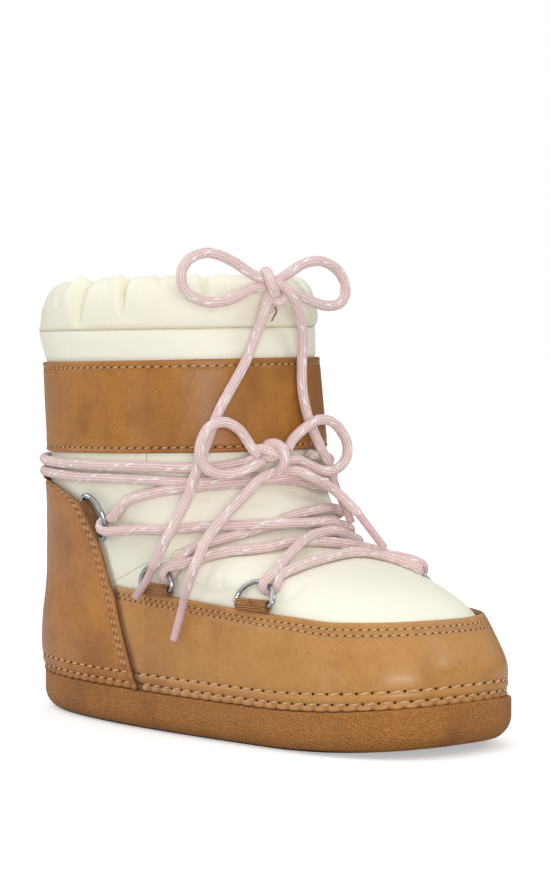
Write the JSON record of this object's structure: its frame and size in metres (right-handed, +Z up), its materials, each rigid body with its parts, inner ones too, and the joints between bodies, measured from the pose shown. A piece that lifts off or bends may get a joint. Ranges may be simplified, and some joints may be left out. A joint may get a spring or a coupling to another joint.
{
  "type": "winter bootie",
  "caption": "Padded ankle-high winter bootie on a thick moulded sole, with leather overlays, a lace wound through half rings and a gathered drawstring collar.",
  "frame": {"origin": "on the floor, under the middle of the boot's length and width", "axes": "+X to the toe, +Y to the left side, +Z up"},
  "size_m": [0.2847, 0.1346, 0.2319],
  "materials": {
    "nylon": "cream coated nylon with a soft sheen",
    "leather": "tan smooth leather with a fine grain",
    "sole": "brown pebbled rubber",
    "footbed": "felt",
    "webbing": "ribbed brown webbing",
    "ring_steel": "polished steel",
    "lace": "round braided cord, pink with white flecks",
    "lace_tip": "clear plastic film rolled round the cord's end"
  },
  "bodies": {
    "root": {"outsole": "sole", "insole": "footbed", "upper": "nylon", "collar_cuff": "nylon", "toe_rand": "leather", "heel_counter": "leather", "shaft_band": "leather", "tab_toe_right": "webbing", "tab_toe_left": "webbing", "tab_mid_right": "webbing", "tab_mid_left": "webbing", "tab_heel_right": "webbing", "tab_heel_left": "webbing", "ring_toe_right": "ring_steel", "ring_toe_left": "ring_steel", "ring_mid_right": "ring_steel", "ring_mid_left": "ring_steel", "ring_heel_right": "ring_steel", "ring_heel_left": "ring_steel", "lace_crossings": "lace", "lace_knot": "lace", "lace_loop_right": "lace", "lace_loop_left": "lace", "lace_end_right": "lace", "lace_end_left": "lace", "drawstring_knot": "lace", "drawstring_loop_right": "lace", "drawstring_loop_left": "lace", "drawstring_end_right": "lace", "drawstring_end_left": "lace"}
  },
  "joints": []
}
